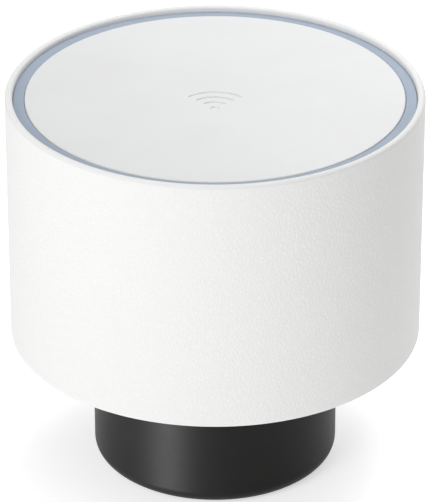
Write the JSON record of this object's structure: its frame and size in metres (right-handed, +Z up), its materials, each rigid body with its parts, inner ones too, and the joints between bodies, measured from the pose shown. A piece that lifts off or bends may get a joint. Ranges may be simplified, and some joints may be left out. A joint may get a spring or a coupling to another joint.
{
  "type": "mesh wifi node",
  "caption": "Drum-shaped mesh wifi node on a narrow black pedestal, with a flush light ring round its top disc and a port bay at the back of the pedestal.",
  "frame": {"origin": "centre of the rubber foot, on the surface that the node stands on", "axes": "+Z up along the drum's axis, -Y to the front, +Y to the back, out of the ports, +X to the right seen from the front"},
  "size_m": [0.12, 0.12, 0.1168],
  "materials": {
    "sleeve_white": "fine leather grain, white",
    "disc_white": "smooth matte white",
    "ring_clear": "frosted cool blue-grey light guide",
    "baffle_white": "bright white reflector plastic",
    "frame_grey": "dark grey glass-filled plastic",
    "pedestal_black": "satin black, lightly sparked",
    "cover_black": "fine-textured black",
    "foot_rubber": "dull dark rubber",
    "ballast_steel": "zinc-plated steel",
    "screw_steel": "zinc-plated",
    "board_green": "green solder mask",
    "light_board_white": "white solder mask",
    "antenna_board": "dark blue board with copper patches",
    "chip_black": "moulded epoxy",
    "shield_tin": "tinned steel",
    "pad_grey": "soft silicone gap pad",
    "heatsink_aluminium": "extruded, plain",
    "led_yellow": "phosphor window in a white body",
    "coil_grey": "moulded ferrite",
    "capacitor_can": "sleeved aluminium can",
    "cable_grey": "jacketed coaxial cable",
    "cable_white": "white jacket",
    "plug_metal": "gold-plated",
    "plug_ivory": "nylon",
    "spacer_brass": "turned brass",
    "jack_shell": "nickel-plated",
    "jack_black": "black nylon",
    "contact_gold": "gold-plated",
    "button_black": "satin black",
    "switch_black": "moulded switch housing"
  },
  "bodies": {
    "housing": {"antenna_cable_front": "cable_grey", "antenna_cable_left": "cable_grey", "antenna_cable_rear": "cable_grey", "antenna_cable_right": "cable_grey", "antenna_front": "antenna_board", "antenna_left": "antenna_board", "antenna_plugs": "plug_metal", "antenna_rear": "antenna_board", "antenna_right": "antenna_board", "ballast_plate": "ballast_steel", "ballast_screws": "screw_steel", "board_spacers": "spacer_brass", "capacitors": "capacitor_can", "chassis": "frame_grey", "cover_screws": "screw_steel", "heatsink": "heatsink_aluminium", "heatsink_screws": "screw_steel", "led_board": "light_board_white", "led_cable": "cable_white", "led_plugs": "plug_ivory", "leds": "led_yellow", "light_baffle": "baffle_white", "light_ring": "ring_clear", "line_transformers": "chip_black", "main_board": "board_green", "memory_chips": "chip_black", "network_contacts_left": "contact_gold", "network_contacts_right": "contact_gold", "network_insert_left": "jack_black", "network_insert_right": "jack_black", "network_shell_left": "jack_shell", "network_shell_right": "jack_shell", "outer_sleeve": "sleeve_white", "pair_switch": "switch_black", "pedestal": "pedestal_black", "pedestal_screws": "screw_steel", "port_board": "board_green", "port_board_screws": "screw_steel", "power_coils": "coil_grey", "power_jack": "jack_black", "power_pin": "jack_shell", "processor": "chip_black", "radio_shields": "shield_tin", "reset_switch": "switch_black", "ribbon_cable": "cable_white", "ribbon_sockets": "plug_ivory", "rubber_foot": "foot_rubber", "thermal_pads": "pad_grey", "top_disc": "disc_white", "top_frame": "frame_grey", "top_frame_screws": "screw_steel", "underside_cover": "cover_black"},
    "pair_button": {"pair_button": "button_black", "pair_plunger": "button_black"},
    "reset_plunger": {"reset_plunger": "button_black"}
  },
  "joints": [
    {"name": "pair_button_press", "type": "slide", "parent": "housing", "child": "pair_button", "axis": [0, -1, 0], "range_m": [0, 0.0005], "stiffness_N_per_m": 600, "springref_m": -0.001},
    {"name": "reset_press", "type": "slide", "parent": "housing", "child": "reset_plunger", "axis": [0, -1, 0], "range_m": [0, 0.00025], "stiffness_N_per_m": 600, "springref_m": -0.0005}
  ]
}
